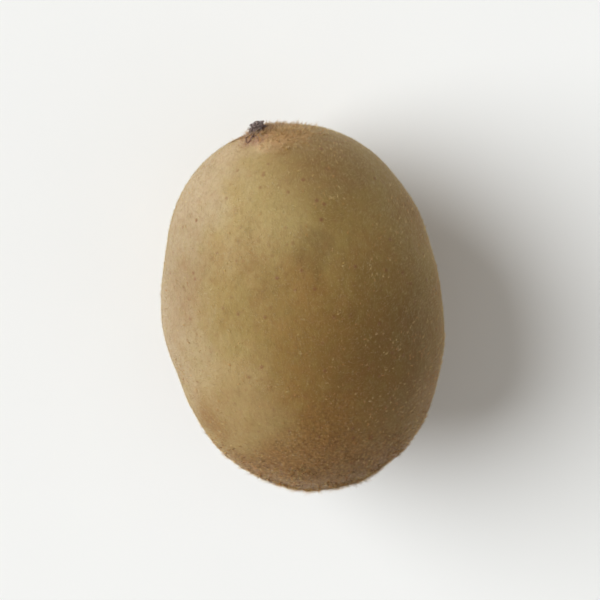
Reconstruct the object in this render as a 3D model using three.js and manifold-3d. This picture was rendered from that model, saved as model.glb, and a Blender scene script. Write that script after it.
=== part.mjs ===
// A whole golden kiwi fruit lying on its side, as it settles on a table.
// Millimetres, +Z up. The long axis runs along X: the blossom end, with its
// dried styles, points to -X and the stem end to +X. The surface it lies on is
// z = 0, and the origin is in the middle of its footprint there.
import * as THREE from "three";
import { mergeVertices } from "three/addons/utils/BufferGeometryUtils.js";
import Module from "manifold-3d";

const wasm = await Module();
wasm.setup();

// --- Driving dimensions of the fruit ---
const LENGTH = 72; // pole to pole, without the dried styles
const WIDTH = 54.3; // level diameter, the wider of the two
const HEIGHT = 51.6; // upright diameter, before the resting spot is pressed flat
const FULLNESS = 2.14; // exponent of the long outline: 2 is an ellipse, more is blunter
const REST_DEPTH = 0.8; // how far the resting spot is pressed in

// --- Its irregular shape ---
const LOBES = 3; // the carpels show as broad lobes round the girth
const LOBE_RISE = 0.3;
const LOBE_TURN = 0.7; // radians from +Y to the first lobe
const FLANK_WAVE = 0.55; // swell of the shoulder, waist and belly along the -Y flank
const FLANK_PERIOD = 0.77; // of that wave, as a share of half the length
const FLANK_PHASE = 0.04;
const FLANK_FADE = { middle: 0.65, towardsStem: 0.35 }; // its share midway, and the loss from there

// --- Blossom end: a shallow dimple with a small nub that carries the styles ---
const BLOSSOM = { y: -3.4, z: 0.8 }; // its middle, a little off the long axis
const BLOSSOM_DIMPLE = { depth: 0.45, radius: 4.6 };
const BLOSSOM_NUB = { height: 0.75, radius: 1.5 };
const BLOSSOM_SHOULDER = { y: -2.4, z: -2, height: 0.7, wide: 2.8, tall: 4.5 }; // a low fold beside it

// --- Stem end: a hollow with a woody scar where the stalk broke off ---
const STEM_HOLLOW = { depth: 1.7, radius: 5.2 };
const STEM_RIM = { height: 0.45, radius: 7.4, spread: 2.2 };
const SCAR = { radius: 2.3, height: 0.7, edge: 0.35 };

// --- Dried styles: the tuft of flower remains on the nub ---
const TUFT = { base: 1.5, radius: 2.1, brim: 1.33, crown: 0.95, height: 1.9, well: 1.05 };
const TUFT_ARMS = { count: 7, notch: 0.3 }; // the notch is a share of the radius
const TUFT_GAP = 0.3; // between the tuft and the skin under it

// --- How finely the shapes are cut into flat faces ---
const RINGS = 40;
const SEGMENTS = 56;
const POLE_CROWDING = 0.12; // draws the rings together towards both poles
const WELD = 1e-4; // vertices nearer than this are one

// Share of a bump left at a distance from its middle.
const bell = (distance, radius) => Math.exp(-((distance / radius) ** 2));

// From 0 to 1, smoothly, as x goes from 0 to 1.
const smooth = (x) => THREE.MathUtils.smoothstep(x, 0, 1);

// The angle of a ring: 0 at the blossom pole, PI at the stem pole.
function ringAngle(ring) {
  const share = ring / RINGS;
  return Math.PI * (share - POLE_CROWDING * Math.sin(2 * Math.PI * share));
}

// How far the blossom end's skin moves along X, at a point of its face.
function blossomRelief(y, z) {
  const distance = Math.hypot(y - BLOSSOM.y, z - BLOSSOM.z);
  const dimple = BLOSSOM_DIMPLE.depth * bell(distance, BLOSSOM_DIMPLE.radius);
  const nub = BLOSSOM_NUB.height * bell(distance, BLOSSOM_NUB.radius);
  const across = (y - BLOSSOM_SHOULDER.y) / BLOSSOM_SHOULDER.wide;
  const up = (z - BLOSSOM_SHOULDER.z) / BLOSSOM_SHOULDER.tall;
  const shoulder = BLOSSOM_SHOULDER.height * bell(Math.hypot(across, up), 1);
  return dimple - nub - shoulder;
}

// The same for the stem end.
function stemRelief(y, z) {
  const distance = Math.hypot(y, z);
  const hollow = STEM_HOLLOW.depth * bell(distance, STEM_HOLLOW.radius);
  const rim = STEM_RIM.height * bell(distance - STEM_RIM.radius, STEM_RIM.spread);
  const scar = SCAR.height * smooth((SCAR.radius + SCAR.edge - distance) / (2 * SCAR.edge));
  return rim + scar - hollow;
}

// One point of the plain long outline: x is the radius, y the place along the axis.
function outlinePoint(angle) {
  const power = 2 / FULLNESS;
  const cosine = Math.cos(angle);
  const radius = (WIDTH / 2) * Math.abs(Math.sin(angle)) ** power;
  const along = (-LENGTH / 2) * Math.sign(cosine) * Math.abs(cosine) ** power;
  return new THREE.Vector2(radius, along);
}

// Moves a point of the plain round body to where it is on the real fruit.
function shapePoint(point) {
  const girth = Math.atan2(point.z, point.y);
  const station = point.x / (LENGTH / 2);
  const roundness = Math.hypot(point.y, point.z) / (WIDTH / 2);
  const lobes = LOBE_RISE * Math.cos(LOBES * (girth - LOBE_TURN));
  const onFlank = Math.max(0, -Math.cos(girth)) ** 2;
  const wave = Math.cos((2 * Math.PI * (-station - FLANK_PHASE)) / FLANK_PERIOD);
  const fade = FLANK_FADE.middle - FLANK_FADE.towardsStem * station;
  const flank = FLANK_WAVE * onFlank * wave * fade;
  const swell = 1 + ((lobes + flank) * roundness) / (WIDTH / 2);
  point.y *= swell;
  point.z *= (swell * HEIGHT) / WIDTH;
  point.x += (station < 0 ? blossomRelief : stemRelief)(point.y, point.z);
  point.z += HEIGHT / 2 - REST_DEPTH;
  return point;
}

// The point of the blossom end's skin that lies at y and z off the long axis.
function blossomPoint(y, z) {
  const radius = Math.hypot(y, (z * WIDTH) / HEIGHT);
  const angle = Math.asin((radius / (WIDTH / 2)) ** (FULLNESS / 2));
  const plain = new THREE.Vector3(outlinePoint(angle).y, y, (z * WIDTH) / HEIGHT);
  return shapePoint(plain);
}

// A closed geometry as a solid that manifold-3d can cut.
function toSolid(geometry) {
  const bare = geometry.clone();
  bare.deleteAttribute("normal");
  bare.deleteAttribute("uv");
  const merged = mergeVertices(bare, WELD);
  const mesh = new wasm.Mesh({
    numProp: 3,
    vertProperties: new Float32Array(merged.attributes.position.array),
    triVerts: new Uint32Array(merged.index.array),
  });
  return new wasm.Manifold(mesh);
}

function toGeometry(solid) {
  const mesh = solid.getMesh();
  const geometry = new THREE.BufferGeometry();
  geometry.setAttribute("position", new THREE.BufferAttribute(mesh.vertProperties, 3));
  geometry.setIndex(new THREE.BufferAttribute(mesh.triVerts, 1));
  geometry.computeVertexNormals();
  return geometry;
}

function reshape(geometry, change) {
  const position = geometry.attributes.position;
  const point = new THREE.Vector3();
  for (let i = 0; i < position.count; i++) {
    const moved = change(point.fromBufferAttribute(position, i));
    position.setXYZ(i, moved.x, moved.y, moved.z);
  }
  return geometry;
}

// The berry with its skin: one grown body, pressed flat where it rests.
function fruitGeometry() {
  const outline = [];
  for (let ring = 0; ring <= RINGS; ring++) {
    outline.push(outlinePoint(ringAngle(ring)));
  }
  outline[0].x = 0;
  outline[RINGS].x = 0;
  const round = new THREE.LatheGeometry(outline, SEGMENTS).rotateZ(-Math.PI / 2);
  const body = reshape(round, shapePoint);
  const table = new THREE.BoxGeometry(2 * LENGTH, 2 * WIDTH, HEIGHT);
  table.translate(0, 0, -HEIGHT / 2);
  return toGeometry(toSolid(body).subtract(toSolid(table)));
}

// The tuft of dried styles as one starry button that stands on the nub.
function tuftGeometry() {
  const profile = [
    new THREE.Vector2(0, 0),
    new THREE.Vector2(TUFT.base, 0),
    new THREE.Vector2(TUFT.radius, TUFT.brim),
    new THREE.Vector2(TUFT.crown, TUFT.height),
    new THREE.Vector2(0, TUFT.well),
  ];
  const { count, notch } = TUFT_ARMS;
  const button = new THREE.LatheGeometry(profile, 4 * count);
  reshape(button, (point) => {
    const turn = Math.atan2(point.z, point.x);
    const arm = 1 - (notch / 2) * (1 - Math.cos(count * turn));
    return point.multiply(new THREE.Vector3(arm, 1, arm));
  });
  const { y, z } = BLOSSOM;
  const nub = blossomPoint(y, z);
  const side = BLOSSOM_NUB.radius; // the skin's slope, read over the nub's width
  const acrossY = blossomPoint(y + side, z).sub(blossomPoint(y - side, z));
  const acrossZ = blossomPoint(y, z + side).sub(blossomPoint(y, z - side));
  const outward = acrossZ.cross(acrossY).normalize();
  const upright = new THREE.Vector3(0, 1, 0);
  button.applyQuaternion(new THREE.Quaternion().setFromUnitVectors(upright, outward));
  const seat = nub.addScaledVector(outward, TUFT_GAP);
  return button.translate(seat.x, seat.y, seat.z);
}

function piece(name, geometry, material) {
  const mesh = new THREE.Mesh(geometry, material);
  mesh.name = name;
  return mesh;
}

const skin = new THREE.MeshStandardMaterial({ color: 0xa58a5a, roughness: 0.7, metalness: 0 });
const driedPlant = new THREE.MeshStandardMaterial({ color: 0x41342e, roughness: 0.9, metalness: 0 });

const kiwi = new THREE.Group();
kiwi.add(piece("fruit", fruitGeometry(), skin));
kiwi.add(piece("dried_styles", tuftGeometry(), driedPlant));

// The origin goes to the middle of the footprint of everything above.
const middle = new THREE.Box3().setFromObject(kiwi).getCenter(new THREE.Vector3());
kiwi.children.forEach((mesh) => mesh.position.set(-middle.x, -middle.y, 0));

export default kiwi;
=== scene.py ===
"""A golden kiwi fruit lying on its side in soft studio light, seen from above.

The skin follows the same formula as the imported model's fruit, cut much finer.
Down, dried flower remains and the stem scar are modelled on it as real meshes.
"""

import math

import bpy
import numpy as np
from mathutils import Matrix, Vector
from mathutils.bvhtree import BVHTree


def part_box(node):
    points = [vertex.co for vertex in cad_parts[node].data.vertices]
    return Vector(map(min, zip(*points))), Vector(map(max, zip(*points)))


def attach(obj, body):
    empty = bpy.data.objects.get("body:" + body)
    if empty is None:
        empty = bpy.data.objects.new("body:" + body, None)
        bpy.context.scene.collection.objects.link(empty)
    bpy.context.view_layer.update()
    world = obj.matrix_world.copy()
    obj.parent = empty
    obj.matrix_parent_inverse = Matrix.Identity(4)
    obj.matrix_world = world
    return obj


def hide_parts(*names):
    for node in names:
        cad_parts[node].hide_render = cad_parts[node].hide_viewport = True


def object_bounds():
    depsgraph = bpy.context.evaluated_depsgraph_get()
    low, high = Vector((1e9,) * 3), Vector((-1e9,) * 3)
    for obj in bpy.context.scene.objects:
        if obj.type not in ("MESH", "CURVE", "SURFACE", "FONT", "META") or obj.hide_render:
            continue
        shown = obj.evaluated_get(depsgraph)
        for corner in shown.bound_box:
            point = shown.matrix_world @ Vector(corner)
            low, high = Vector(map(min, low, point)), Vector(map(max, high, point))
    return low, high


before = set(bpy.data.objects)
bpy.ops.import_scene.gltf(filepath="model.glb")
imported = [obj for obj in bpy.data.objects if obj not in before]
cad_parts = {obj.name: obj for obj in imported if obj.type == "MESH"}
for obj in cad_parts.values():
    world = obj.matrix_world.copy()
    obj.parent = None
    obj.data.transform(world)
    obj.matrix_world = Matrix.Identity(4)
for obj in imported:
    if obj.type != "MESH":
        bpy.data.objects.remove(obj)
cad_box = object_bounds()

MM = 0.001
TAU = 2 * math.pi

# --- Driving dimensions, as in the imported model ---
LENGTH = 72 * MM
WIDTH = 54.3 * MM
HEIGHT = 51.6 * MM
FULLNESS = 2.14
REST_DEPTH = 0.8 * MM
LOBES = 3
LOBE_RISE = 0.3 * MM
LOBE_TURN = 0.7
FLANK_WAVE = 0.55 * MM
FLANK_PERIOD = 0.77
FLANK_PHASE = 0.04
FLANK_MIDDLE = 0.65
FLANK_LOSS = 0.35
BLOSSOM_Y = -3.4 * MM
BLOSSOM_Z = 0.8 * MM
DIMPLE_DEPTH = 0.45 * MM
DIMPLE_RADIUS = 4.6 * MM
NUB_HEIGHT = 0.75 * MM
NUB_RADIUS = 1.5 * MM
SHOULDER_Y = -2.4 * MM
SHOULDER_Z = -2 * MM
SHOULDER_HEIGHT = 0.7 * MM
SHOULDER_WIDE = 2.8 * MM
SHOULDER_TALL = 4.5 * MM
HOLLOW_DEPTH = 1.7 * MM
HOLLOW_RADIUS = 5.2 * MM
RIM_HEIGHT = 0.45 * MM
RIM_RADIUS = 7.4 * MM
RIM_SPREAD = 2.2 * MM
SCAR_RADIUS = 2.3 * MM
POLE_CROWDING = 0.12

fruit_low, fruit_high = (np.array(corner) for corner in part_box("fruit"))
tuft_high = np.array(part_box("dried_styles")[1])


# --- Small tools ---


def bell(distance, radius):
    """Share of a bump left at a distance from its middle."""
    return np.exp(-((distance / radius) ** 2))


def smooth(low, high, value):
    """From 0 at low to 1 at high, smoothly."""
    share = np.clip((value - low) / (high - low), 0, 1)
    return share * share * (3 - 2 * share)


def unit(vectors):
    """The same directions with length 1."""
    return vectors / np.maximum(np.linalg.norm(vectors, axis=-1, keepdims=True), 1e-12)


SWELL_WAVES = 28  # plane waves that add up to one random field
SWELL_RANGE = (0.75, 1.4)  # of their lengths, as a share of the field's wavelength


def swells(points, wavelength, seed):
    """A smooth random field over points, of about the given wavelength and of spread 1."""
    rng = np.random.default_rng(seed)
    ways = unit(rng.normal(size=(SWELL_WAVES, 3)))
    ways = ways / (wavelength * rng.uniform(*SWELL_RANGE, (SWELL_WAVES, 1)))
    phases = rng.uniform(0, TAU, SWELL_WAVES)
    return np.cos(TAU * points @ ways.T + phases).sum(axis=-1) * math.sqrt(2 / SWELL_WAVES)


def lumps(points, sizes, seed):
    """Several random fields at once. Sizes holds the height and wavelength of each."""
    fields = enumerate(sizes, start=seed)
    return sum(height * swells(points, wavelength, number) for number, (height, wavelength) in fields)


def rgb(red, green, blue):
    """A colour as a screen shows it, 0 to 255, in Blender's linear values."""
    shown = np.array([red, green, blue]) / 255
    linear = np.where(shown <= 0.04045, shown / 12.92, ((shown + 0.055) / 1.055) ** 2.4)
    return (*linear.tolist(), 1.0)


def add_object(name, data):
    item = bpy.data.objects.new(name, data)
    bpy.context.scene.collection.objects.link(item)
    return item


def add_piece(name, points, face_groups, materials, face_material=None):
    """Makes a mesh object that rides on the fruit, from points and arrays of faces.

    Face_material says which of the materials each face has, if there are several.
    """
    sizes = np.concatenate([np.full(len(group), group.shape[1]) for group in face_groups])
    corners = np.concatenate([group.ravel() for group in face_groups])
    mesh = bpy.data.meshes.new(name)
    mesh.vertices.add(len(points))
    mesh.vertices.foreach_set("co", points.astype(np.float32).ravel())
    mesh.loops.add(len(corners))
    mesh.loops.foreach_set("vertex_index", corners.astype(np.int32))
    mesh.polygons.add(len(sizes))
    mesh.polygons.foreach_set("loop_start", (np.cumsum(sizes) - sizes).astype(np.int32))
    for material in materials:
        mesh.materials.append(material)
    if face_material is not None:
        mesh.polygons.foreach_set("material_index", face_material.astype(np.int32))
    mesh.update(calc_edges=True)
    mesh.shade_smooth()
    piece = add_object(name, mesh)
    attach(piece, "root")
    return piece


def grid_corners(count, around):
    """Rings and columns of the corners of a closed grid's faces: a fan, quads and a fan."""
    here = np.arange(around)
    there, middle = here + 1, here + 0.5
    last = count - 1
    ring = np.arange(1, last - 1)[:, None]
    rings = np.concatenate([ring, ring, ring + 1, ring + 1], axis=1)[:, None]
    columns = np.stack([here, there, there, here], axis=-1)
    first_fan = np.array([0, 1, 1]), np.stack([middle, there, here], axis=-1)
    last_fan = np.array([last, last - 1, last - 1]), np.stack([middle, here, there], axis=-1)
    return [np.broadcast_arrays(*pair) for pair in (first_fan, (rings, columns), last_fan)]


def closed_grid(rows):
    """Points and faces of a closed body from rows of points, the first and last row a pole."""
    count, around = rows.shape[:2]
    points = np.concatenate([rows[0, :1], rows[1:-1].reshape(-1, 3), rows[-1, :1]])
    faces = []
    for rings, columns in grid_corners(count, around):
        corners = 1 + around * (rings - 1) + columns % around
        corners = np.clip(corners, 0, len(points) - 1)  # a pole is one point
        faces.append(corners.astype(int).reshape(-1, corners.shape[-1]))
    return points, faces


def map_grid(piece, count, around):
    """Unrolls a closed grid: u goes round it and v from its first pole to its last."""
    corners = [
        np.stack([columns.ravel() / around, rings.ravel() / (count - 1)], axis=1)
        for rings, columns in grid_corners(count, around)
    ]
    layer = piece.data.uv_layers.new(name="OFBake")
    layer.data.foreach_set("uv", np.concatenate(corners).astype(np.float32).ravel())


def strands(paths, radii, sides=3, flat=1.0, roll=0.0):
    """Closed tubes that run along paths and end in a point, and which tube each face is of.

    Paths is (strand, step, 3) and radii (strand, step - 1). A flat below 1 squeezes the
    tubes to ribbons, and roll turns each ribbon about its length.
    """
    count, steps = paths.shape[:2]
    along = unit(paths[:, -1] - paths[:, 0])
    helper = np.where(np.abs(along[:, 2:]) < 0.8, [[0.0, 0.0, 1.0]], [[1.0, 0.0, 0.0]])
    first = unit(np.cross(along, helper))
    second = np.cross(along, first)
    first, second = (
        np.cos(roll) * first + np.sin(roll) * second,
        np.cos(roll) * second - np.sin(roll) * first,
    )
    turn = (TAU * np.arange(sides) / sides)[:, None]
    spokes = first[:, None] * np.cos(turn) + flat * second[:, None] * np.sin(turn)
    rings = paths[:, :-1, None] + spokes[:, None] * radii[:, :, None, None]
    each = (steps - 1) * sides + 1
    points = np.concatenate([rings.reshape(count, -1, 3), paths[:, -1:]], axis=1)
    base = (each * np.arange(count))[:, None, None]
    here = np.arange(sides)
    there = (here + 1) % sides
    level = sides * np.arange(steps - 2)[:, None]
    low_here, low_there = level + here, level + there
    quads = np.stack([low_here, low_there, low_there + sides, low_here + sides], axis=-1)
    top = sides * (steps - 2)
    tips = np.stack([top + here, top + there, np.full(sides, each - 1)], axis=-1)
    foot = here[::-1].reshape(1, sides)
    groups = [base + quads.reshape(1, -1, 4), base + tips, base + foot]
    owner = [np.repeat(np.arange(count), group.shape[1]) for group in groups]
    faces = [group.reshape(-1, group.shape[-1]) for group in groups]
    return points.reshape(-1, 3), faces, np.concatenate(owner)


# --- Materials ---

NOISE_RANGE = (0.3, 0.7)  # where most of a noise's values lie


class Nodes:
    """Builds a node tree. Sizes are in millimetres, and most calls return a socket."""

    def __init__(self, tree):
        self.tree = tree

    def fill(self, node, inputs):
        """Links the sockets and sets the values that inputs holds, by name or number."""
        for key, value in inputs.items():
            if isinstance(value, bpy.types.NodeSocket):
                self.tree.links.new(value, node.inputs[key])
            else:
                node.inputs[key].default_value = value

    def node(self, kind, inputs=None, **settings):
        node = self.tree.nodes.new(kind)
        for key, value in settings.items():
            setattr(node, key, value)
        self.fill(node, inputs or {})
        return node

    def vector(self, operation, first, second=(0, 0, 0), third=(0, 0, 0), scale=1):
        inputs = {0: first, 1: second, 2: third, 3: scale}
        return self.node("ShaderNodeVectorMath", inputs, operation=operation).outputs[0]

    def place(self, stretch=(1, 1, 1), middle=(0, 0, 0)):
        """Where a point is, in millimetres from a middle given in metres, scaled by stretch."""
        where = self.node("ShaderNodeTexCoord").outputs["Object"]
        shifted = self.vector("SUBTRACT", where, list(middle))
        return self.vector("MULTIPLY", shifted, [share / MM for share in stretch])

    def away(self, middle, stretch=(1, 1, 1)):
        """How many millimetres a point is from a middle given in metres."""
        inputs = {0: self.place(stretch, middle)}
        return self.node("ShaderNodeVectorMath", inputs, operation="LENGTH").outputs["Value"]

    def noise(self, place, size, detail=2.0, rough=0.5, twist=0.0):
        """Clouds of that size."""
        inputs = {"Vector": place, "Scale": 1 / size, "Detail": detail, "Roughness": rough}
        inputs["Distortion"] = twist
        return self.node("ShaderNodeTexNoise", inputs).outputs["Fac"]

    def axis(self, place, index):
        """One coordinate of a place: 0, 1 or 2."""
        return self.node("ShaderNodeSeparateXYZ", {0: place}).outputs[index]

    def span(self, value, low, high, start=0.0, end=1.0):
        """From start at low to end at high, smoothly."""
        inputs = {"Value": value, "From Min": low, "From Max": high, "To Min": start, "To Max": end}
        kind = "ShaderNodeMapRange"
        return self.node(kind, inputs, interpolation_type="SMOOTHSTEP").outputs["Result"]

    def calc(self, operation, first, second):
        inputs = {0: first, 1: second}
        return self.node("ShaderNodeMath", inputs, operation=operation).outputs[0]

    def waver(self, value, noise, reach):
        """The value, moved up or down by a noise, by as much as reach."""
        return self.calc("ADD", value, self.span(noise, *NOISE_RANGE, -reach, reach))

    def mix(self, share, first, second):
        inputs = {0: share, 6: first, 7: second}
        return self.node("ShaderNodeMix", inputs, data_type="RGBA").outputs[2]

    def layer(self, colour, value, start, full, strength, tone):
        """Paints a tone over a colour: none where value is start, strength where it is full."""
        return self.mix(self.span(value, start, full, 0, strength), colour, rgb(*tone))

    def bump(self, height, depth, below=None):
        """A relief of that depth in millimetres, on top of another."""
        inputs = {"Height": height, "Distance": depth * MM}
        if below is not None:
            inputs["Normal"] = below
        return self.node("ShaderNodeBump", inputs).outputs["Normal"]


SHEEN_ROUGHNESS = 0.45


class Shader(Nodes):
    """The nodes of one material."""

    def __init__(self, name, specular, roughness=0.6, sheen=0.0, sheen_tint=(1, 1, 1, 1)):
        self.material = bpy.data.materials.new(name)
        self.material.use_nodes = True
        super().__init__(self.material.node_tree)
        self.surface = self.tree.nodes["Principled BSDF"]
        self.surface.inputs["Roughness"].default_value = roughness
        self.surface.inputs["Specular IOR Level"].default_value = specular
        self.surface.inputs["Sheen Weight"].default_value = sheen
        self.surface.inputs["Sheen Tint"].default_value = sheen_tint
        self.surface.inputs["Sheen Roughness"].default_value = SHEEN_ROUGHNESS

    def finish(self, colour, roughness=None, normal=None):
        inputs = {"Base Color": colour, "Roughness": roughness, "Normal": normal}
        given = {key: value for key, value in inputs.items() if value is not None}
        self.fill(self.surface, given)
        return self.material


# --- The skin's shape ---

SKIN_LUMPS = ((0.11 * MM, 15 * MM), (0.025 * MM, 4.5 * MM))  # height and wavelength
BLOSSOM_FOLDS = {"folds": 7, "radius": 3.2 * MM, "spread": 2 * MM, "depth": 0.07 * MM, "seed": 3}
STEM_FOLDS = {"folds": 13, "radius": 7.5 * MM, "spread": 3.5 * MM, "depth": 0.13 * MM, "seed": 4}
MORE_FOLDS = (0, 3, 7)  # waves with this many more folds add up, so the folds are uneven


def blossom_relief(y, z):
    """How far the blossom end's skin moves along X, at a point of its face."""
    distance = np.hypot(y - BLOSSOM_Y, z - BLOSSOM_Z)
    dimple = DIMPLE_DEPTH * bell(distance, DIMPLE_RADIUS)
    nub = NUB_HEIGHT * bell(distance, NUB_RADIUS)
    across = (y - SHOULDER_Y) / SHOULDER_WIDE
    up = (z - SHOULDER_Z) / SHOULDER_TALL
    return dimple - nub - SHOULDER_HEIGHT * bell(np.hypot(across, up), 1)


def stem_relief(y, z):
    """The same for the stem end, without the scar, which is a piece of its own."""
    distance = np.hypot(y, z)
    hollow = HOLLOW_DEPTH * bell(distance, HOLLOW_RADIUS)
    rim = RIM_HEIGHT * bell(distance - RIM_RADIUS, RIM_SPREAD)
    return rim - hollow


def pucker(y, z, folds, radius, spread, depth, seed):
    """Fine folds that run out from a point at the middle of a fruit's end."""
    distance = np.hypot(y, z)
    turn = np.arctan2(z, y)
    rng = np.random.default_rng(seed)
    wave = sum(np.cos((folds + more) * turn + rng.uniform(0, TAU)) for more in MORE_FOLDS)
    return depth * wave / len(MORE_FOLDS) * bell(distance - radius, spread)


def skin_points(angle, girth):
    """Points of the fine skin, in metres and with the long outline's middle at x = 0."""
    angle, girth = np.broadcast_arrays(angle, girth)
    power = 2 / FULLNESS
    radius = WIDTH / 2 * np.abs(np.sin(angle)) ** power
    cosine = np.cos(angle)
    x = -LENGTH / 2 * np.sign(cosine) * np.abs(cosine) ** power
    station = x / (LENGTH / 2)
    roundness = radius / (WIDTH / 2)
    lobes = LOBE_RISE * np.cos(LOBES * (girth - LOBE_TURN))
    on_flank = np.maximum(0, -np.cos(girth)) ** 2
    wave = np.cos(TAU * (-station - FLANK_PHASE) / FLANK_PERIOD)
    flank = FLANK_WAVE * on_flank * wave * (FLANK_MIDDLE - FLANK_LOSS * station)
    y = radius * np.cos(girth)
    z = radius * np.sin(girth)
    plain = np.stack([x, y, z], axis=-1)
    uneven = lumps(plain, SKIN_LUMPS, seed=1)
    swell = 1 + (lobes + flank + uneven) * roundness / (WIDTH / 2)
    y = y * swell
    z = z * swell * HEIGHT / WIDTH
    blossom = blossom_relief(y, z) + pucker(y - BLOSSOM_Y, z - BLOSSOM_Z, **BLOSSOM_FOLDS)
    stem = stem_relief(y, z) + pucker(y, z, **STEM_FOLDS)
    x = x + np.where(station < 0, blossom, stem)
    z = np.maximum(z + HEIGHT / 2 - REST_DEPTH, 0)
    return np.stack([x, y, z], axis=-1)


SKIN_RINGS = 246
SKIN_SEGMENTS = 296


def skin_mesh():
    """The skin's rings of points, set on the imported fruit's middle, and how far that moved them."""
    share = np.linspace(0, 1, SKIN_RINGS + 1)
    angle = math.pi * (share - POLE_CROWDING * np.sin(TAU * share))
    girth = TAU * np.arange(SKIN_SEGMENTS) / SKIN_SEGMENTS
    rows = skin_points(angle[:, None], girth[None, :])
    low, high = rows.min(axis=(0, 1)), rows.max(axis=(0, 1))
    shift = (fruit_low + fruit_high - low - high) / 2
    shift[2] = 0
    return rows + shift, shift


skin_rows, skin_shift = skin_mesh()
AXIS_HEIGHT = HEIGHT / 2 - REST_DEPTH  # of the fruit's long axis over the table
blossom_middle = np.array([tuft_high[0], skin_shift[1] + BLOSSOM_Y, AXIS_HEIGHT + BLOSSOM_Z])
blossom_fuzz = blossom_middle + np.array([1.5, 5.0, 3.2]) * MM
blossom_crest = blossom_middle + np.array([0, 2.9, -2.4]) * MM  # shows against the light
blossom_blush = blossom_middle + np.array([1.0, -0.6, 4.6]) * MM
blossom_specks = np.array([-26, 12, 38]) * MM
stem_middle = np.array([fruit_high[0], skin_shift[1], AXIS_HEIGHT])


CLOUD_WANDER = 2.6  # millimetres that the clouds' edges wander in and out
CLOUD_CORE = 0.25  # share of its radius within which a cloud is at full strength
# Clouds of colour on the skin: middle and radius in millimetres, strength, colour
SKIN_CLOUDS = (
    ((-24, -7, 42), 20, 0.7, (164, 143, 95)),  # olive gold above the middle
    ((5, 5, 50), 20, 0.55, (134, 100, 48)),  # tan in the middle
    ((-8, -0.5, 50), 8, 0.4, (134, 92, 46)),  # and warmer above it
    ((12, -15, 42), 17, 0.6, (162, 140, 98)),  # olive again on the near flank
    ((-13, 5, 49), 5, 0.5, (110, 82, 44)),  # a faint brown mark
    ((9, 13, 43), 24, 0.8, (108, 78, 34)),  # brown on the far flank: partly the skin's own tone, partly painted shade
    ((-28, 9, 39), 13, 0.75, (124, 95, 54)),  # painted shadow, brown, near the blossom end on its far side
    ((-4, -31, 24), 31, 0.8, (164, 146, 122)),  # painted sheen: pale on the near, lit side
    ((-27, -18, 31), 17, 0.7, (173, 154, 128)),  # and more painted sheen up to the blossom end
    ((-33, -9, 31), 7, 0.4, (180, 154, 120)),  # palest to the left of the dried styles
    ((-34.4, -0.9, 33.2), 3.4, 0.7, (204, 172, 132)),  # and in a band below them
    ((-33.5, 2.5, 33.5), 4.5, 0.6, (130, 93, 46)),  # a small brown streak to their right
    ((-14, -22, 37), 16, 0.4, (138, 118, 90)),  # a duller patch between the two
)


# Layers of colour: the noise each follows, its values where the layer starts and is full,
# its strength there, and its colour
PATCH_LAYERS = (
    ("patches", 0.46, 0.76, 0.3, (118, 87, 43)),
    ("patches", 0.5, 0.25, 0.32, (150, 130, 74)),
)
FINE_LAYERS = (
    ("mottle", 0.48, 0.7, 0.16, (136, 94, 58)),
    ("mottle", 0.5, 0.3, 0.16, (130, 115, 62)),
    ("grain", 0.42, 0.72, 0.17, (114, 80, 48)),
    ("grain", 0.5, 0.3, 0.14, (158, 139, 86)),
    ("streaks", 0.48, 0.72, 0.17, (108, 78, 42)),
)
OLIVE_SKIN = (141, 117, 65)
TAN_SKIN = (137, 106, 57)
STEM_SKIN = (120, 81, 36)
LENTICEL = (118, 74, 50)
RUST_FLECK = (84, 54, 32)
STRAW_FLECK = (158, 122, 72)
SKIN_SHEEN = (236, 208, 176)
STREAK_STRETCH = 0.28  # the streaks run lengthwise: this much of their length counts
LENTICEL_CELL = 2.3  # millimetres, with one dot in each cell
FLECK_SIZE = 0.55  # millimetres


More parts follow.
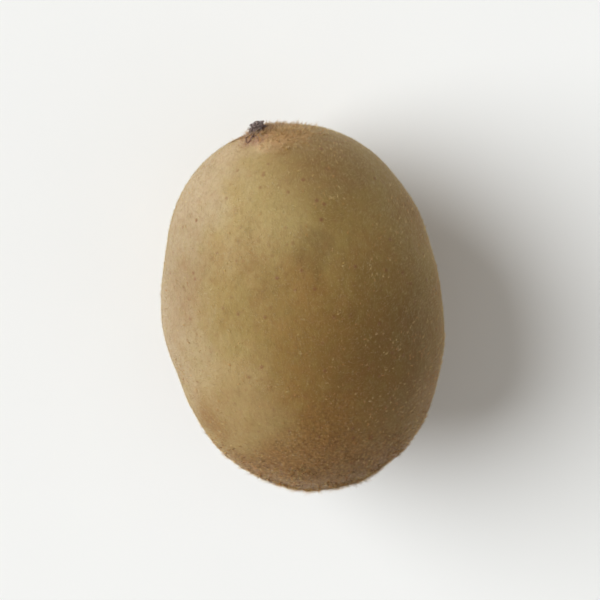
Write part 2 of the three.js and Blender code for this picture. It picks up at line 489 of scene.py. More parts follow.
def skin_material():
    shader = Shader("kiwi_skin", specular=0.17, sheen=0.22, sheen_tint=rgb(*SKIN_SHEEN))
    place = shader.place()
    noises = {
        "broad": shader.noise(place, 17, detail=1.5, twist=0.4),
        "patches": shader.noise(place, 8.5, detail=2.5, rough=0.55, twist=0.6),
        "mottle": shader.noise(place, 2.2, detail=2, rough=0.6),
        "grain": shader.noise(place, 0.95, detail=3, rough=0.6),
        "streaks": shader.noise(shader.place((STREAK_STRETCH, 1, 1)), 0.85, detail=3, rough=0.55),
        "pores": shader.noise(place, 0.3, detail=2),
    }
    colour = shader.layer(rgb(*OLIVE_SKIN), noises["broad"], 0.36, 0.64, 1, TAN_SKIN)
    for noise, *layer in PATCH_LAYERS:
        colour = shader.layer(colour, noises[noise], *layer)
    wander = shader.span(noises["patches"], *NOISE_RANGE, -CLOUD_WANDER, CLOUD_WANDER)
    # Some of these clouds are painted sheen and painted shade, as the table says.
    for middle, radius, strength, tone in SKIN_CLOUDS:
        away = shader.calc("ADD", shader.away(np.array(middle) * MM), wander)
        colour = shader.layer(colour, away, radius, CLOUD_CORE * radius, strength, tone)
    along = shader.waver(shader.axis(place, 0), noises["broad"], 6)
    colour = shader.layer(colour, along, 8, 34, 0.85, STEM_SKIN)
    for noise, *layer in FINE_LAYERS:
        colour = shader.layer(colour, noises[noise], *layer)

    # Lenticels: small soft red-brown dots, most of them faint.
    cells = shader.node("ShaderNodeTexVoronoi", {"Vector": place, "Scale": 1 / LENTICEL_CELL})
    spot = shader.span(cells.outputs["Distance"], 0.25, 0.05)
    faint = shader.span(shader.noise(place, 2.6), 0.4, 0.68, 0.12, 0.76)
    spot = shader.calc("MULTIPLY", spot, faint)
    colour = shader.mix(spot, colour, rgb(*LENTICEL))

    # Flecks of rust and straw that thicken towards the stem end.
    stem = shader.span(along, 12, 32)
    flecks = shader.noise(place, FLECK_SIZE, detail=2, rough=0.6)
    rust = shader.calc("MULTIPLY", shader.span(flecks, 0.52, 0.64, 0, 0.55), stem)
    straw = shader.calc("MULTIPLY", shader.span(flecks, 0.46, 0.36, 0, 0.5), stem)
    colour = shader.mix(rust, colour, rgb(*RUST_FLECK))
    colour = shader.mix(straw, colour, rgb(*STRAW_FLECK))

    colour = blossom_stain(shader, colour)
    colour = stem_stain_and_shade(shader, place, colour)
    relief = shader.bump(noises["pores"], 0.05)
    relief = shader.bump(noises["streaks"], 0.06, relief)
    relief = shader.bump(spot, 0.05, relief)
    roughness = shader.span(noises["grain"], *NOISE_RANGE, 0.5, 0.66)
    return shader.finish(colour, roughness, relief)


STROKE_RADIUS = 3  # millimetres from their middle, where the width of strokes is given
STROKE_SLOWNESS = (0.5, 0.5, 0.5)  # their tone changes outwards, this fast


def radial_strokes(shader, middle, width):
    """Fine strokes that run out from a point at the middle of an end, 0 to 1."""
    flat = shader.place(stretch=(0, 1, 1), middle=middle)
    way = shader.vector("NORMALIZE", flat)
    spread = shader.vector("SCALE", way, scale=STROKE_RADIUS / width)
    turned = shader.vector("MULTIPLY_ADD", flat, STROKE_SLOWNESS, spread)
    return shader.noise(turned, 1, detail=2)


# Stains at both ends, with painted shade in the stem end's hollow: where each starts and is full,
# in millimetres from its middle, its strength and its colour
FUZZ_STAIN = (7.5, 2.5, 0.75, (178, 138, 90))
BLUSH_STAIN = (4.2, 1.6, 0.65, (136, 92, 76))
NUB_STAINS = (
    (5.2, 2.6, 0.6, (162, 114, 88)),  # a reddish ring
    (1.9, 1.0, 0.85, (108, 78, 64)),  # dark right under the dried styles
)
STEM_STAINS_AND_SHADE = (
    (17, 7, 0.6, (110, 79, 46)),  # a dusky cloud
    (9.5, 6.8, 0.7, (116, 78, 46)),  # a brown ring at the hollow's rim
    (6.4, 4.2, 0.85, (82, 56, 40)),  # the hollow, painted dark: partly its own darker skin, partly painted shade
)
STEM_END = (20, 28)  # millimetres along the fruit, where the stem end's stains and painted shade set in


def blossom_stain(shader, colour):
    """Brown fuzz beside the nub, a blush on its upper side, and ragged rings round it."""
    strokes = radial_strokes(shader, blossom_middle, width=0.8)
    colour = shader.layer(colour, shader.away(blossom_fuzz), *FUZZ_STAIN)
    blush = shader.waver(shader.away(blossom_blush), strokes, 0.9)
    colour = shader.layer(colour, blush, *BLUSH_STAIN)
    away = shader.waver(shader.away(blossom_middle), strokes, 0.9)
    for stain in NUB_STAINS:
        colour = shader.layer(colour, away, *stain)
    return colour


def stem_stain_and_shade(shader, place, colour):
    """A hollow painted dark, partly as painted shade, a brown ring at its rim, and a dusky cloud
    outside it.
    """
    end = shader.span(shader.axis(place, 0), *STEM_END)
    strokes = radial_strokes(shader, stem_middle, width=0.5)
    away = shader.waver(shader.away(stem_middle, stretch=(0, 1, 1)), strokes, 0.7)
    for start, full, strength, tone in STEM_STAINS_AND_SHADE:
        share = shader.calc("MULTIPLY", shader.span(away, start, full, 0, strength), end)
        colour = shader.mix(share, colour, rgb(*tone))
    return colour


skin_body, skin_faces = closed_grid(skin_rows)
skin = add_piece("fruit_skin", skin_body, skin_faces, [skin_material()])
map_grid(skin, *skin_rows.shape[:2])
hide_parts("fruit")

skin_normals = np.empty(len(skin_body) * 3, np.float32)
skin.data.vertex_normals.foreach_get("vector", skin_normals)
skin_normals = skin_normals.reshape(-1, 3).astype(float)
skin_tree = BVHTree.FromObject(skin, bpy.context.evaluated_depsgraph_get())


BARE_HEIGHT = 0.5 * MM  # nothing grows on the resting spot, up to here


def scatter(count, seed, density=None):
    """Random places on the skin, each with its normal. Density is a function of points."""
    quads = skin_faces[1]
    corners = skin_body[quads]
    diagonals = np.cross(corners[:, 2] - corners[:, 0], corners[:, 3] - corners[:, 1])
    middles = corners.mean(axis=1)
    weights = np.linalg.norm(diagonals, axis=1) * (middles[:, 2] > BARE_HEIGHT)
    if density is not None:
        weights = weights * density(middles)
    rng = np.random.default_rng(seed)
    picked = quads[rng.choice(len(quads), count, p=weights / weights.sum())]
    across, along = rng.random((2, count, 1))
    shares = ((1 - across) * (1 - along), across * (1 - along), across * along, (1 - across) * along)
    places = sum(share * skin_body[picked[:, i]] for i, share in enumerate(shares))
    normals = sum(share * skin_normals[picked[:, i]] for i, share in enumerate(shares))
    return places, unit(normals), rng


def above_skin(points, lift):
    """The points moved to that height over the skin, and the skin's normals there."""
    moved, normals = [], []
    lifts = np.broadcast_to(lift, points.shape[:-1]).ravel()
    for point, height in zip(points.reshape(-1, 3), lifts):
        foot, normal, _, _ = skin_tree.find_nearest(Vector(point))
        moved.append(foot + normal * height)
        normals.append(normal)
    return np.array(moved).reshape(points.shape), np.array(normals).reshape(points.shape)


def skin_at_end(middle, side):
    """The skin's point and normal met from outside, along the fruit's axis through middle."""
    start = Vector(middle + [side * 10 * MM, 0, 0])
    foot, normal, _, _ = skin_tree.ray_cast(start, Vector((-side, 0, 0)))
    return np.array(foot), np.array(normal)


def off_table(points):
    """No hair goes below the surface that the fruit lies on."""
    return np.concatenate([points[:, :2], np.maximum(points[:, 2:], 0.01 * MM)], axis=1)


# --- Down on the skin ---

HAIR_GLOW = 0.8  # share of the light that passes through a hair instead of off it
HAIR_DEPTH = 0.05 * MM  # how far that light goes, and how much of each colour does
HAIR_TINT = (1, 0.8, 0.55)


def hair_material(name, tone):
    shader = Shader(name, roughness=0.7, specular=0.15)
    shader.surface.inputs["Subsurface Weight"].default_value = HAIR_GLOW
    shader.surface.inputs["Subsurface Scale"].default_value = HAIR_DEPTH
    shader.surface.inputs["Subsurface Radius"].default_value = HAIR_TINT
    return shader.finish(rgb(*tone))


def hair_materials(tones):
    return [hair_material(name, tone) for name, tone in tones.items()]


DOWN_PIECES = 3
DOWN_HAIRS = 36500  # in each piece
DOWN_LENGTH = (0.3 * MM, 0.75 * MM)
DOWN_RADIUS = (0.009 * MM, 0.017 * MM)
DOWN_SINK = 0.02 * MM
DOWN_LIFT = (12, 48)  # degrees that a hair stands off the skin
DOWN_SWIRL = 0.6  # radians that whole patches of down turn aside
DOWN_PATCH = 9 * MM
DOWN_WANDER = 0.5  # radians that each hair turns aside on its own
DOWN_BROWN = 34 * MM  # how far towards the stem end the down is at its brownest
DOWN_FADE = 8 * MM
DOWN_TONES = {
    "down_pale": (198, 180, 136),
    "down_sand": (174, 150, 98),
    "down_tan": (158, 132, 84),
    "down_brown": (130, 90, 46),
}


def make_down(number, materials):
    """Fine single hairs all over, browner towards the stem end."""
    places, normals, rng = scatter(DOWN_HAIRS, seed=100 + number)
    along = unit(np.array([-1.0, 0, 0]) + normals * normals[:, :1])
    across = np.cross(normals, along)
    heading = DOWN_SWIRL * swells(places, DOWN_PATCH, seed=120)[:, None]
    heading = heading + rng.normal(0, DOWN_WANDER, (DOWN_HAIRS, 1))
    lift = np.radians(rng.uniform(*DOWN_LIFT, (DOWN_HAIRS, 1)))
    way = np.cos(lift) * (np.cos(heading) * along + np.sin(heading) * across)
    way = way + np.sin(lift) * normals
    length = rng.uniform(*DOWN_LENGTH, (DOWN_HAIRS, 1))
    paths = np.stack([places - normals * DOWN_SINK, places + way * length], axis=1)
    radii = rng.uniform(*DOWN_RADIUS, (DOWN_HAIRS, 1))
    points, faces, owner = strands(paths, radii)
    stemward = smooth(0, DOWN_BROWN, places[:, 0] + rng.normal(0, DOWN_FADE, DOWN_HAIRS))
    shade = rng.integers(0, 3, DOWN_HAIRS)
    shade = np.where(rng.random(DOWN_HAIRS) < 0.85 * stemward, 2 + shade % 2, shade)[owner]
    add_piece(f"down_{number}", off_table(points), faces, materials, shade)


down_materials = hair_materials(DOWN_TONES)
for number in range(1, DOWN_PIECES + 1):
    make_down(number, down_materials)


# --- Longer hairs, in small tufts ---

HAIR_SPREAD = 0.3  # of a tuft's hairs, as a share of their length
ROOT_SPREAD = 0.6  # of their roots, as a share of that
TIP_SPREAD = 0.7
HAIR_RISE = (0.1, 0.5)  # how far hairs go straight up before they bend, in their lengths
HAIR_TAPER = 0.45
HAIR_SINK = 0.03 * MM


def curved_paths(roots, normals, tips, steps, rise):
    """Curves that leave the skin upright and bend over to their tips."""
    reach = np.linalg.norm(tips - roots, axis=-1, keepdims=True)
    bends = roots + normals * reach * rise
    t = np.linspace(0, 1, steps)[None, :, None]
    return (1 - t) ** 2 * roots[:, None] + 2 * t * (1 - t) * bends[:, None] + t**2 * tips[:, None]


def lean_away(places, normals, rng, middle, lift, wander):
    """Directions out from an end's middle: lift in degrees off the skin, wander in radians."""
    out = places - middle
    out = unit(out - normals * (out * normals).sum(axis=1, keepdims=True))
    side = np.cross(normals, out)
    turn = rng.normal(0, wander, (len(places), 1))
    rise = np.radians(rng.uniform(*lift, (len(places), 1)))
    return np.cos(rise) * (np.cos(turn) * out + np.sin(turn) * side) + np.sin(rise) * normals


def hair_tufts(name, seed, tufts, hairs, length, radius, heading, density, tones, steps=4):
    """Small tufts of hairs that grow together and lean away from one of the fruit's ends.

    Length and radius are ranges in millimetres. Heading is the end's middle, with the lift and
    the wander that lean_away takes. Tones are the colours to pick from.
    """
    places, normals, rng = scatter(tufts, seed, density)
    way = lean_away(places, normals, rng, *heading)
    reach = rng.uniform(*np.array(length) * MM, (tufts, 1))
    tips = places + way * reach
    count = tufts * hairs
    spread = HAIR_SPREAD * np.repeat(reach, hairs, axis=0)
    jitter = rng.normal(0, 1, (count, 3))
    out = np.repeat(normals, hairs, axis=0)
    jitter = jitter - out * (jitter * out).sum(axis=1, keepdims=True)
    roots = np.repeat(places, hairs, axis=0) + ROOT_SPREAD * jitter * spread - out * HAIR_SINK
    ends = np.repeat(tips, hairs, axis=0) + rng.normal(0, TIP_SPREAD, (count, 3)) * spread
    paths = curved_paths(roots, out, ends, steps, rng.uniform(*HAIR_RISE, (count, 1)))
    thick = rng.uniform(*np.array(radius) * MM, (count, 1))
    points, faces, owner = strands(paths, thick * np.linspace(1, HAIR_TAPER, steps - 1))
    shade = np.repeat(rng.integers(0, len(tones), tufts), hairs)[owner]
    add_piece(name, off_table(points), faces, hair_materials(tones), shade)


def apart(points, middle):
    return np.linalg.norm(points - middle, axis=1)


def from_stem(points):
    """How far points are from the stem end's middle, seen along the fruit's axis."""
    return np.hypot(points[:, 1] - stem_middle[1], points[:, 2] - stem_middle[2])


def on_stem_end(points):
    return points[:, 0] > 0.3 * LENGTH


def stem_rim_density(points):
    """Dense on the hollow's rim, and a few outside it."""
    away = from_stem(points)
    rim = bell(away - RIM_RADIUS, 2 * MM) + 0.1 * bell(away - 10 * MM, 3 * MM)
    return on_stem_end(points) * rim


def stem_cap_density(points):
    """Bristles thicken towards the stem end's rim, in loose clouds."""
    share = smooth(0.26, 0.47, points[:, 0] / LENGTH)
    share = share * smooth(5 * MM, 8 * MM, from_stem(points))
    return share * np.clip(0.8 + 0.5 * swells(points, 6 * MM, seed=141), 0.1, None)


def stem_hollow_density(points):
    """A ring round the scar."""
    return on_stem_end(points) * bell(from_stem(points) - 3.4 * MM, 1.7 * MM)


def blossom_density(points):
    """A ring round the dried styles, thin on the near side."""
    away = apart(points, blossom_middle)
    near = bell(away - 2.2 * MM, 1.5 * MM) + 0.02 * bell(away - 5 * MM, 3 * MM)
    far_side = smooth(-2.5 * MM, 0.5 * MM, points[:, 1] - blossom_middle[1])
    return (points[:, 0] < 0) * near * (0.3 + 0.7 * far_side)


def beside_styles(middle, radius, bare, full):
    """Density of a cloud round a middle, bare and full that far from the dried styles."""

    def density(points):
        clear = smooth(bare, full, apart(points, blossom_middle))
        return (points[:, 0] < 0) * bell(apart(points, middle), radius) * clear

    return density


def speck_density(points):
    """Golden specks gather towards the stem end, the far flank and one spot above it."""
    share = smooth(-0.35, 0.45, points[:, 0] / LENGTH)
    share = share + 0.7 * smooth(-0.1, 0.45, points[:, 1] / WIDTH)
    share = share + 1.2 * bell(apart(points, blossom_specks), 9 * MM)
    clouds = np.clip(0.7 + 0.6 * swells(points, 11 * MM, seed=140), 0.05, None)
    return (0.1 + share) * clouds


hair_tufts(
    "stem_rim_hairs", seed=150, tufts=860, hairs=4, length=(0.7, 1.6), radius=(0.014, 0.026),
    heading=(stem_middle, (14, 38), 0.45), density=stem_rim_density,
    tones={"hair_orange": (172, 118, 66), "hair_brown": (116, 80, 50), "hair_gold": (204, 166, 104)},
)
hair_tufts(
    "stem_bristles", seed=155, tufts=2300, hairs=4, length=(0.6, 1.35), radius=(0.02, 0.036),
    heading=(stem_middle, (10, 34), 0.6), density=stem_cap_density, steps=3,
    tones={
        "bristle_rust": (128, 76, 42), "bristle_tan": (190, 140, 86),
        "bristle_olive": (140, 116, 64), "bristle_dark": (80, 54, 34),
    },
)
hair_tufts(
    "stem_hollow_hairs", seed=151, tufts=300, hairs=4, length=(0.7, 1.7), radius=(0.016, 0.028),
    heading=(stem_middle, (25, 75), 1.6), density=stem_hollow_density, steps=6,
    tones={"hair_straw": (188, 156, 108), "hair_umber": (104, 76, 52)},
)
hair_tufts(
    "blossom_hairs", seed=152, tufts=420, hairs=4, length=(0.45, 1.1), radius=(0.011, 0.02),
    heading=(blossom_middle, (15, 55), 0.5), density=blossom_density,
    tones={"hair_rust": (138, 94, 64), "hair_soot": (120, 90, 68), "hair_amber": (166, 128, 84)},
)
hair_tufts(
    "blossom_fuzz", seed=154, tufts=560, hairs=6, length=(0.45, 1.1), radius=(0.012, 0.022),
    heading=(blossom_middle, (30, 78), 0.8),
    density=beside_styles(blossom_fuzz, 4.4 * MM, bare=1.8 * MM, full=3.2 * MM),
    tones={
        "fuzz_brown": (172, 132, 90), "fuzz_gold": (210, 174, 126),
        "fuzz_tan": (194, 156, 108), "fuzz_olive": (146, 120, 78),
    },
)
hair_tufts(
    "blossom_crest_hairs", seed=156, tufts=420, hairs=4, length=(0.5, 1.15), radius=(0.015, 0.028),
    heading=(blossom_middle, (40, 85), 0.9),
    density=beside_styles(blossom_crest, 3.6 * MM, bare=1.6 * MM, full=2.6 * MM),
    tones={"crest_straw": (206, 170, 130), "crest_tan": (176, 138, 102), "crest_rust": (140, 102, 74)},
)
hair_tufts(
    "golden_specks", seed=153, tufts=1600, hairs=5, length=(0.35, 0.85), radius=(0.016, 0.028),
    heading=(stem_middle, (10, 35), 0.7), density=speck_density, steps=3,
    tones={"speck_gold": (222, 190, 130), "speck_orange": (196, 142, 88)},
)


# --- Dried flower at the nub ---

STYLES = 84
STYLE_STEPS = 12
STYLE_LENGTH = (1.3 * MM, 2.9 * MM)
STYLE_BASE = 1.0 * MM  # radius of the patch that the styles grow from
STYLE_RADIUS = 0.15 * MM
STYLE_THICKNESS = (0.7, 1.3)  # of one style, as a share of the rest
STYLE_KNOTS = (0.8, 1.2)  # the same along one style
STYLE_FLATNESS = 0.4
STYLE_LEAN = (20, 60)  # degrees that the middle ones lean out, and how much more the outer do
STYLE_WANDER = 20  # degrees either way
STYLE_BEND = (-80, 110)  # degrees, from root to tip
STYLE_CRINKLE = 0.4
TUFT_HEIGHT = 1.35 * MM  # the styles are crumpled down to this height over the nub
TUFT_RADIUS = 2.2 * MM
CORE_RINGS = 24
CORE_SEGMENTS = 48
CORE_RADIUS = 1.25 * MM
CORE_HEIGHT = 0.75 * MM
CORE_LUMPS = ((0.16 * MM, 0.9 * MM), (0.07 * MM, 0.35 * MM))  # height and wavelength
GOLDEN_ANGLE = math.pi * (3 - math.sqrt(5))
DRIED_STYLE = ((88, 73, 71), (124, 104, 97), (156, 139, 129))  # dark, warm and pale tone
DRIED_STAMEN = ((86, 61, 56), (120, 84, 72), (156, 126, 108))

nub_top, nub_out = skin_at_end(blossom_middle, -1)
nub_side = unit(np.cross(nub_out, [0.0, 0.0, 1.0]))
nub_up = np.cross(nub_side, nub_out)


def bent_paths(roots, starts, ends, reach, steps, crinkle, rng):
    """Crinkled threads that leave in one direction and have turned to another at their end."""
    t = np.linspace(0, 1, steps)[None, :, None]
    way = unit((1 - t) * starts[:, None] + t * ends[:, None])
    way = unit(way + crinkle * rng.normal(0, 1, way.shape))
    moves = way[:, :-1] * (reach / (steps - 1))[:, None]
    return np.concatenate([roots[:, None], roots[:, None] + np.cumsum(moves, axis=1)], axis=1)


def dried_material(name, dark, warm, pale):
    shader = Shader(name, specular=0.25, sheen=0.15)
    place = shader.place()
    patches = shader.noise(place, 0.55, detail=3, rough=0.6)
    fine = shader.noise(place, 0.16, detail=2)
    colour = shader.layer(rgb(*dark), patches, 0.4, 0.62, 1, warm)
    colour = shader.layer(colour, fine, 0.5, 0.66, 0.85, pale)
    return shader.finish(colour, 0.82, shader.bump(fine, 0.03))


def crumple(points):
    """Presses points of the tuft softly into its height and radius, and keeps them off the skin."""
    offset = points - nub_top
    height = offset @ nub_out
    sideways = offset - height[..., None] * nub_out
    away = np.linalg.norm(sideways, axis=-1)
    squeeze = TUFT_RADIUS * np.tanh(away / TUFT_RADIUS) / np.maximum(away, 1e-9)
    away = away * squeeze
    floor = -NUB_HEIGHT * (1 - bell(away, NUB_RADIUS))
    lowered = floor + TUFT_HEIGHT * np.tanh(np.maximum(height - floor, 0.05 * MM) / TUFT_HEIGHT)
    return nub_top + sideways * squeeze[..., None] + lowered[..., None] * nub_out


def tuft_core():
    """The matted middle of the tuft."""
    rise = np.linspace(0, math.pi, CORE_RINGS + 1)[:, None]
    turn = TAU * np.arange(CORE_SEGMENTS)[None] / CORE_SEGMENTS
    away = np.stack([np.sin(rise) * np.cos(turn), np.sin(rise) * np.sin(turn)], axis=-1) * CORE_RADIUS
    height = CORE_HEIGHT * np.cos(rise) + 0 * turn
    rows = nub_top + away[..., :1] * nub_side + away[..., 1:] * nub_up + height[..., None] * nub_out
    rows = rows + unit(rows - nub_top) * lumps(rows, CORE_LUMPS, seed=162)[..., None]
    rows[0], rows[-1] = rows[0].mean(axis=0), rows[-1].mean(axis=0)
    return closed_grid(rows[::-1])


def make_styles():
    """Dried styles: a crumpled tuft of flat threads round a matted middle."""
    rng = np.random.default_rng(160)
    index = np.arange(STYLES)
    share = np.sqrt((index + 0.5) / STYLES)[:, None]
    turn = (GOLDEN_ANGLE * index + rng.normal(0, 0.3, STYLES))[:, None]
    outward = np.cos(turn) * nub_side + np.sin(turn) * nub_up
    height = CORE_HEIGHT * np.sqrt(1 - 0.9 * share**2) - 0.2 * MM
    roots = nub_top + STYLE_BASE * share * outward + height * nub_out
    middle_lean, outer_lean = STYLE_LEAN
    lean = middle_lean + outer_lean * share
    lean = np.radians(lean + rng.normal(0, STYLE_WANDER, (STYLES, 1)))
    starts = np.cos(lean) * nub_out + np.sin(lean) * outward
    turned = lean + np.radians(rng.uniform(*STYLE_BEND, (STYLES, 1)))
    ends = np.cos(turned) * nub_out + np.sin(turned) * outward
    ends = ends + rng.normal(0, 0.6, ends.shape)
    reach = rng.uniform(*STYLE_LENGTH, (STYLES, 1))
    paths = crumple(bent_paths(roots, starts, ends, reach, STYLE_STEPS, STYLE_CRINKLE, rng))
    t = np.linspace(0, 1, STYLE_STEPS - 1)
    club = 1 - 0.4 * t + 0.3 * bell(t - 0.93, 0.12)  # they taper, and swell near the tip
    thick = rng.uniform(*STYLE_THICKNESS, (STYLES, 1))
    radii = STYLE_RADIUS * club * thick * rng.uniform(*STYLE_KNOTS, (STYLES, STYLE_STEPS - 1))
    roll = rng.uniform(0, TAU, (STYLES, 1))
    points, faces, _ = strands(paths, radii, sides=8, flat=STYLE_FLATNESS, roll=roll)
    core_points, core_faces = tuft_core()
    faces = faces + [group + len(points) for group in core_faces]
    points = np.concatenate([points, core_points])
    material = dried_material("dried_styles", *DRIED_STYLE)
    styles = add_piece("dried_styles_tuft", points, faces, [material])
    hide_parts("dried_styles")


FILAMENTS = 42
FILAMENT_STEPS = 10
FILAMENT_START = (1.2, 1.9)  # millimetres from the nub's middle
FILAMENT_REACH = (0.9 * MM, 2.7 * MM)
FILAMENT_TURN = (-140, 150)  # degrees round the nub: few lie on its near side
FILAMENT_BOW = 0.35  # radians that one bends sideways
LONG_BOW = 0.2  # share of that for the long ones
FILAMENT_CRINKLE = 0.05
FILAMENT_LIFT = 0.06  # millimetres over the skin
FILAMENT_ARCH = 0.35  # millimetres more, at most, midway
FILAMENT_SINK = 0.1 * MM
FILAMENT_RADIUS = 0.04 * MM
LONG_FILAMENTS = (  # degrees round the nub, reach in millimetres, times thicker than the rest
    (201, 4.5, 2.4), (112, 5.4, 1.7), (124, 5.0, 2.4), (136, 4.2, 2.1), (96, 3.6, 1.5),
    (236, 3.2, 1.5), (266, 2.8, 1.4), (296, 3.4, 1.7), (328, 2.6, 1.4),
)
ANTHER_EVERY = 3  # one filament in so many still has its anther
ANTHER_LENGTH = (0.3, 0.5)  # millimetres
ANTHER_RADIUS = 0.11 * MM
ANTHER_BULGE = (0.3, 0.75, 1.0, 0.9, 0.6, 0.3)  # shares of that radius along it


def filament_paths(rng):
    """Threads that lie round the styles on the skin, and how thick each one is."""
    turn = np.radians(rng.uniform(*FILAMENT_TURN, FILAMENTS))
    reach = rng.uniform(*FILAMENT_REACH, FILAMENTS)
    thicker = np.ones((FILAMENTS, 1))
    for i, (degrees, length, times) in enumerate(LONG_FILAMENTS):
        turn[i], reach[i], thicker[i] = math.radians(degrees), length * MM, times
    start = rng.uniform(*FILAMENT_START, FILAMENTS) * MM
    t = np.linspace(0, 1, FILAMENT_STEPS)
    is_long = (np.arange(FILAMENTS) < len(LONG_FILAMENTS))[:, None]
    bow = rng.normal(0, FILAMENT_BOW, (FILAMENTS, 1)) * np.where(is_long, LONG_BOW, 1)
    crinkle = np.cumsum(rng.normal(0, 1, (FILAMENTS, FILAMENT_STEPS)), axis=1)
    angle = (turn[:, None] + bow * t + FILAMENT_CRINKLE * crinkle)[..., None]
    away = (start[:, None] + reach[:, None] * t)[..., None]
    plane = nub_top + away * (np.cos(angle) * nub_side + np.sin(angle) * nub_up)
    arch = FILAMENT_ARCH * rng.random((FILAMENTS, 1)) * np.sin(math.pi * t) ** 2
    paths, normals = above_skin(plane, (FILAMENT_LIFT + arch) * MM)
    paths[:, 0] -= normals[:, 0] * FILAMENT_SINK
    return paths, FILAMENT_RADIUS * rng.uniform(0.8, 1.3, (FILAMENTS, 1)) * thicker


def make_filaments():
    """Dried stamens: threads round the styles, some with an anther."""
    rng = np.random.default_rng(161)
    paths, thick = filament_paths(rng)
    radii = thick * np.linspace(1.2, 0.6, FILAMENT_STEPS - 1)
    material = dried_material("dried_stamens", *DRIED_STAMEN)
    points, faces, _ = strands(paths, radii, sides=5)
    add_piece("stamen_threads", points, faces, [material])
    ends, before = paths[::ANTHER_EVERY, -1], paths[::ANTHER_EVERY, -3]
    way = unit(ends - before)
    size = rng.uniform(*ANTHER_LENGTH, (len(ends), 1)) * MM
    along = np.linspace(-0.5, 0.5, len(ANTHER_BULGE) + 1)
    anthers = np.stack([ends + way * size * share for share in along], axis=1)
    radii = np.array(ANTHER_BULGE) * ANTHER_RADIUS
    radii = radii * rng.uniform(0.7, 1.2, (len(ends), len(ANTHER_BULGE)))
    points, faces, _ = strands(anthers, radii, sides=6)
    add_piece("stamen_anthers", points, faces, [material])


make_styles()
make_filaments()


# --- Woody scar at the stem ---

SCAR_DARK = (70, 50, 36)
SCAR_BROWN = (126, 98, 70)
SCAR_SPECK = (158, 132, 98)
SCAR_MIDDLE = (172, 148, 112)
SCAR_EDGE = (60, 42, 32)


def scar_material():
    shader = Shader("stem_scar", specular=0.2)
    place = shader.place()
    away = shader.away(stem_middle, stretch=(0, 1, 1))
    strokes = radial_strokes(shader, stem_middle, width=0.35)
    fine = shader.noise(place, 0.16, detail=3, rough=0.65)
    colour = shader.layer(rgb(*SCAR_DARK), strokes, 0.35, 0.65, 1, SCAR_BROWN)
    colour = shader.layer(colour, fine, 0.5, 0.72, 0.6, SCAR_SPECK)
    away = shader.waver(away, shader.noise(place, 0.4, detail=3), 0.45)
    colour = shader.layer(colour, away, 0.95, 0.45, 0.8, SCAR_MIDDLE)
    colour = shader.layer(colour, away, 1.7, 2.3, 0.7, SCAR_EDGE)
    relief = shader.bump(strokes, 0.12)
    return shader.finish(colour, 0.86, shader.bump(fine, 0.06, relief))


SCAR_SEGMENTS = 96
SCAR_STEPS = 5  # rings from one point of the profile to the next
SCAR_PROFILE = (  # share of the radius, and height in millimetres over the hollow's floor
    (0.0, -0.5), (0.6, -0.5), (1.0, -0.4), (1.08, 0.0), (1.05, 0.3), (0.96, 0.52), (0.84, 0.58),
    (0.72, 0.46), (0.6, 0.34), (0.48, 0.3), (0.38, 0.36), (0.26, 0.46), (0.13, 0.44), (0.0, 0.36),
)
SCAR_WAVES = (2, 3, 5, 8, 13)  # round its outline, with the larger first
SCAR_RAGGED = 0.05  # share of the radius that its outline goes in and out
SCAR_LUMPS = ((0.05 * MM, 0.5 * MM), (0.06 * MM, 1.3 * MM))  # height and wavelength
SCAR_CRACKS = (5, 7, 9)
CRACK_DEPTH = 0.16 * MM
CRACK_SHARPNESS = 24


def make_scar():
    """The woody scar, as a closed button in the stem end's hollow. Gives its middle."""
    shares, heights = np.array(SCAR_PROFILE).T
    corners = np.arange(len(shares))
    fine = np.linspace(0, corners[-1], SCAR_STEPS * corners[-1] + 1)
    shares = np.interp(fine, corners, shares)[:, None]
    heights = np.interp(fine, corners, heights)[:, None] * MM
    turn = TAU * np.arange(SCAR_SEGMENTS)[None] / SCAR_SEGMENTS
    rng = np.random.default_rng(170)
    ragged = sum(
        SCAR_RAGGED / waves**0.5 * np.cos(waves * turn + rng.uniform(0, TAU)) for waves in SCAR_WAVES
    )
    radius = SCAR_RADIUS * shares * (1 + ragged * shares)
    y, z = radius * np.cos(turn), radius * np.sin(turn)
    rough = lumps(np.stack([np.zeros_like(y), y, z], axis=-1), SCAR_LUMPS, seed=171)
    cracks = sum(
        np.abs(np.cos(count * turn / 2 + rng.uniform(0, TAU))) ** CRACK_SHARPNESS
        for count in SCAR_CRACKS
    )
    rough = rough - CRACK_DEPTH * cracks
    height = heights + (heights > 0) * shares.clip(0, 1) * rough
    floor, _ = skin_at_end(stem_middle, 1)
    rows = floor + np.stack([height, y, z], axis=-1)
    rows[0], rows[-1] = rows[0].mean(axis=0), rows[-1].mean(axis=0)
    points, faces = closed_grid(rows[::-1])
    add_piece("stem_scar", points, faces, [scar_material()])
    return floor


SCAR_FIBRES = 70
FIBRE_STEPS = 5
FIBRE_RINGS = (0.45, 0.62, 0.9)  # where they stand, as shares of the scar's radius
FIBRE_REACH = (0.4, 1.2)  # millimetres
FIBRE_RADIUS = (0.035, 0.075)  # millimetres
FIBRE_TONE = (176, 148, 106)


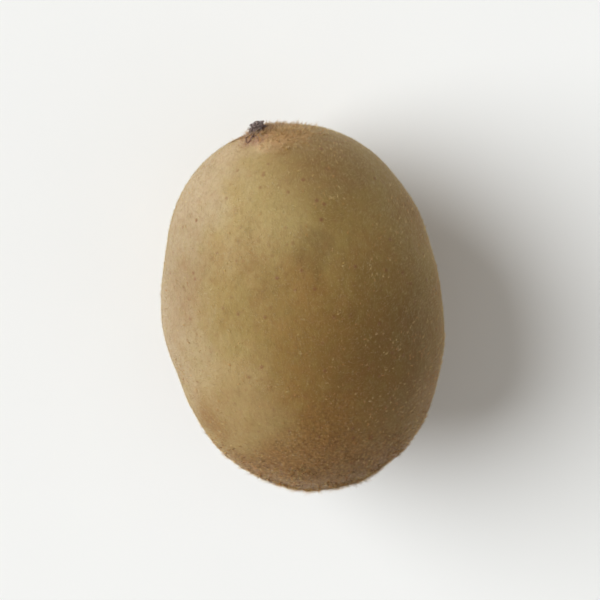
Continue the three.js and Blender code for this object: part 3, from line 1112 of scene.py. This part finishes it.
def make_scar_fibres(floor):
    """Broken vessel ends that stand up from the scar, most of them round its pale middle."""
    rng = np.random.default_rng(173)
    turn = rng.uniform(0, TAU, (SCAR_FIBRES, 1))
    away = rng.choice(FIBRE_RINGS, (SCAR_FIBRES, 1)) * SCAR_RADIUS
    away = away * rng.normal(1, 0.12, (SCAR_FIBRES, 1))
    outward = np.concatenate([0 * turn, np.cos(turn), np.sin(turn)], axis=1)
    stem_axis = np.array([[1.0, 0, 0]])
    roots = floor + away * outward + 0.2 * MM * stem_axis
    starts = unit(stem_axis + 0.35 * rng.normal(0, 1, (SCAR_FIBRES, 3)))
    ends = unit(starts + 0.7 * rng.normal(0, 1, (SCAR_FIBRES, 3)))
    reach = rng.uniform(*FIBRE_REACH, (SCAR_FIBRES, 1)) * MM
    paths = bent_paths(roots, starts, ends, reach, FIBRE_STEPS, 0.2, rng)
    radii = rng.uniform(*FIBRE_RADIUS, (SCAR_FIBRES, 1)) * MM
    points, faces, _ = strands(paths, radii * np.linspace(1, 0.6, FIBRE_STEPS - 1), sides=5)
    add_piece("stem_fibres", points, faces, [hair_material("scar_fibre", FIBRE_TONE)])


make_scar_fibres(make_scar())


# --- Floor, light, camera ---

FLOOR_RADIUS = 3.5  # metres
FLOOR_SIDES = 96
FLOOR_WHITE = (244, 244, 243)
FLOOR_SHADE = (241, 241, 240)


def stage_floor():
    turn = TAU * np.arange(FLOOR_SIDES) / FLOOR_SIDES
    rim = [(FLOOR_RADIUS * math.cos(a), FLOOR_RADIUS * math.sin(a), 0) for a in turn]
    mesh = bpy.data.meshes.new("floor")
    mesh.from_pydata(rim, [], [list(range(FLOOR_SIDES))])
    shader = Shader("floor_paper", roughness=0.85, specular=0.15)
    clouds = shader.noise(shader.place(), 40)
    mesh.materials.append(shader.finish(shader.mix(clouds, rgb(*FLOOR_SHADE), rgb(*FLOOR_WHITE))))
    add_object("floor", mesh)


# Soft lights: name, way from the fruit to it, spread in degrees, power, colour
LIGHTS = (
    ("key", (-0.35, -0.75, 0.55), 52, 4.0, (0.95, 0.98, 1)),
    ("fill", (0.45, 0.8, 0.45), 60, 0.27, (1, 0.94, 0.84)),
)
HORIZON_GLOW = (0.88, 0.88, 0.87, 1)
SKY_GLOW = (0.27, 0.257, 0.236, 1)
GLOW_RISE = (0.12, 0.4)  # how steeply up the horizon's glow starts to fade, and is gone


def add_light(name, way, spread, power, colour):
    data = bpy.data.lights.new(name, "SUN")
    data.angle = math.radians(spread)
    data.energy = power
    data.color = colour
    light = add_object(name, data)
    light.rotation_euler = Vector(way).to_track_quat("Z", "Y").to_euler()


def add_glow():
    """A studio that is bright at the horizon and dimmer above."""
    world = bpy.data.worlds.new("studio")
    world.use_nodes = True
    nodes = Nodes(world.node_tree)
    way = nodes.node("ShaderNodeTexCoord").outputs["Generated"]
    rise = nodes.span(nodes.axis(way, 2), *GLOW_RISE)
    glow = nodes.mix(rise, HORIZON_GLOW, SKY_GLOW)
    nodes.fill(world.node_tree.nodes["Background"], {"Color": glow})
    bpy.context.scene.world = world


CAMERA_LEAN = 12  # degrees that the camera leans towards the blossom end, from straight above
CAMERA_ROLL = 8.7  # degrees that the fruit's axis is turned in the picture
CAMERA_LENS = 100  # millimetres, as is the sensor's width
CAMERA_SENSOR = 36
CAMERA_CLIP = (0.01, 20)  # nearest and farthest metres that it sees
FRUIT_SHARE = 0.63  # of the picture's height, filled by the fruit's length


def add_camera():
    data = bpy.data.cameras.new("camera")
    data.lens = CAMERA_LENS
    data.sensor_width = CAMERA_SENSOR
    camera = add_object("camera", data)
    low, high = (Vector(corner) for corner in cad_box)
    middle = (low + high) / 2
    distance = (high.x - low.x) / FRUIT_SHARE * CAMERA_LENS / CAMERA_SENSOR
    lean, roll = math.radians(CAMERA_LEAN), math.radians(CAMERA_ROLL)
    back = Vector((-math.sin(lean), 0, math.cos(lean)))
    up = Vector((-math.cos(roll), math.sin(roll), 0))
    right = up.cross(back).normalized()
    up = back.cross(right)
    turn = Matrix((right, up, back)).transposed().to_4x4()
    camera.matrix_world = Matrix.Translation(middle + back * distance) @ turn
    data.clip_start, data.clip_end = CAMERA_CLIP
    bpy.context.scene.camera = camera


stage_floor()
for light in LIGHTS:
    add_light(*light)
add_glow()
add_camera()
bpy.context.scene.view_settings.view_transform = "Standard"
